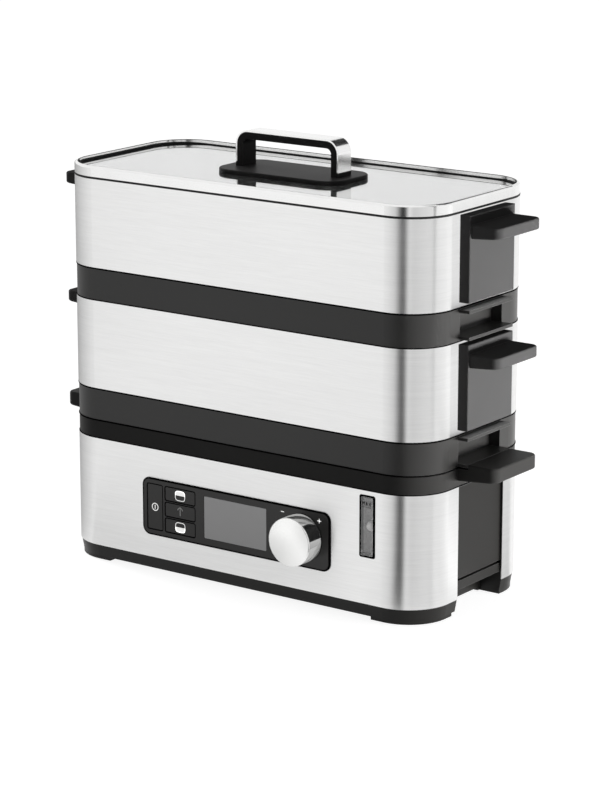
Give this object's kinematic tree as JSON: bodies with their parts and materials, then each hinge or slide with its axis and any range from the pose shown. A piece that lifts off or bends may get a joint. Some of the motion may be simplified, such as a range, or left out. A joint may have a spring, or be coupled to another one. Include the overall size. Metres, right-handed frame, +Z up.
{
  "type": "electric food steamer",
  "caption": "Two-tier electric food steamer: steel baskets stacked on a drip tray over a heated water base with keys and a knob, under a glass lid with a bow handle.",
  "frame": {"origin": "on the table under the middle of the whole object's box", "axes": "+Z up, +X to the right of the control panel along the body's length, +Y from the front to the back"},
  "size_m": [0.37, 0.1556, 0.3111],
  "materials": {
    "brushed_steel": "fine horizontal brushing",
    "polished_steel": "polished",
    "tray_steel": "satin",
    "dark_plastic": "fine satin",
    "handle_plastic": "fine satin",
    "panel_black": "semi-gloss",
    "display_grey": "smooth",
    "smoked_clear": "clear, smoked",
    "float_white": "smooth",
    "clear_glass": "clear",
    "dark_rubber": "matt",
    "silicone": "matt",
    "reservoir_plastic": "smooth",
    "heater_metal": "satin",
    "board": "satin",
    "component_black": "matt",
    "hardware_steel": "plain"
  },
  "bodies": {
    "base": {"base_chassis": "dark_plastic", "rubber_feet": "dark_rubber", "chassis_screws": "hardware_steel", "front_wrap": "brushed_steel", "rear_wrap": "brushed_steel", "right_end_panel": "dark_plastic", "left_end_panel": "dark_plastic", "water_reservoir": "reservoir_plastic", "heating_plate": "tray_steel", "heater_seal": "silicone", "heater_clamp": "heater_metal", "heating_element": "heater_metal", "thermostat": "heater_metal", "power_board": "board", "cord_gland": "dark_rubber", "control_bezel": "panel_black", "display_window": "display_grey", "display_module": "component_black", "control_board": "board", "key_switches": "component_black", "encoder_body": "component_black", "sight_glass": "smoked_clear"},
    "drip_tray": {"drip_tray": "dark_plastic"},
    "lower_basket": {"lower_ring": "dark_plastic", "lower_shell": "brushed_steel", "lower_right_handle": "handle_plastic", "lower_left_handle": "handle_plastic", "lower_handle_screws": "hardware_steel"},
    "lower_tray": {"lower_steaming_tray": "tray_steel"},
    "upper_basket": {"upper_ring": "dark_plastic", "upper_shell": "brushed_steel", "upper_right_handle": "handle_plastic", "upper_left_handle": "handle_plastic", "upper_handle_screws": "hardware_steel"},
    "upper_tray": {"upper_steaming_tray": "tray_steel"},
    "lid": {"lid_rim": "polished_steel", "lid_gasket": "silicone", "lid_glass": "clear_glass", "lid_handle_plate": "handle_plastic", "lid_handle_grip": "handle_plastic", "lid_handle_strap": "polished_steel", "lid_screws": "hardware_steel"},
    "knob": {"selector_knob": "polished_steel", "encoder_shaft": "hardware_steel"},
    "float": {"level_float": "float_white"},
    "power_button": {"power_button": "panel_black"},
    "lower_basket_button": {"lower_basket_button": "panel_black"},
    "start_button": {"start_button": "panel_black"},
    "upper_basket_button": {"upper_basket_button": "panel_black"}
  },
  "joints": [
    {"name": "drip_tray_lift", "type": "slide", "parent": "base", "child": "drip_tray", "axis": [0, 0, 1], "range_m": [0, 0.1]},
    {"name": "lower_basket_lift", "type": "slide", "parent": "drip_tray", "child": "lower_basket", "axis": [0, 0, 1], "range_m": [0, 0.1]},
    {"name": "lower_tray_lift", "type": "slide", "parent": "lower_basket", "child": "lower_tray", "axis": [0, 0, 1], "range_m": [0, 0.05]},
    {"name": "upper_basket_lift", "type": "slide", "parent": "lower_basket", "child": "upper_basket", "axis": [0, 0, 1], "range_m": [0, 0.1]},
    {"name": "upper_tray_lift", "type": "slide", "parent": "upper_basket", "child": "upper_tray", "axis": [0, 0, 1], "range_m": [0, 0.05]},
    {"name": "lid_lift", "type": "slide", "parent": "upper_basket", "child": "lid", "axis": [0, 0, 1], "range_m": [0, 0.1]},
    {"name": "knob_turn", "type": "hinge", "parent": "base", "child": "knob", "pos_m": [0.0576, -0.0638, 0.0492], "axis": [0, 1, 0], "continuous": true},
    {"name": "float_rise", "type": "slide", "parent": "base", "child": "float", "axis": [0, 0, 1], "range_m": [-0.01492, 0.01648]},
    {"name": "power_button_press", "type": "slide", "parent": "base", "child": "power_button", "axis": [0, 1, 0], "range_m": [0, 0.0008], "stiffness_N_per_m": 800},
    {"name": "lower_basket_button_press", "type": "slide", "parent": "base", "child": "lower_basket_button", "axis": [0, 1, 0], "range_m": [0, 0.0008], "stiffness_N_per_m": 800},
    {"name": "start_button_press", "type": "slide", "parent": "base", "child": "start_button", "axis": [0, 1, 0], "range_m": [0, 0.0008], "stiffness_N_per_m": 800},
    {"name": "upper_basket_button_press", "type": "slide", "parent": "base", "child": "upper_basket_button", "axis": [0, 1, 0], "range_m": [0, 0.0008], "stiffness_N_per_m": 800}
  ]
}
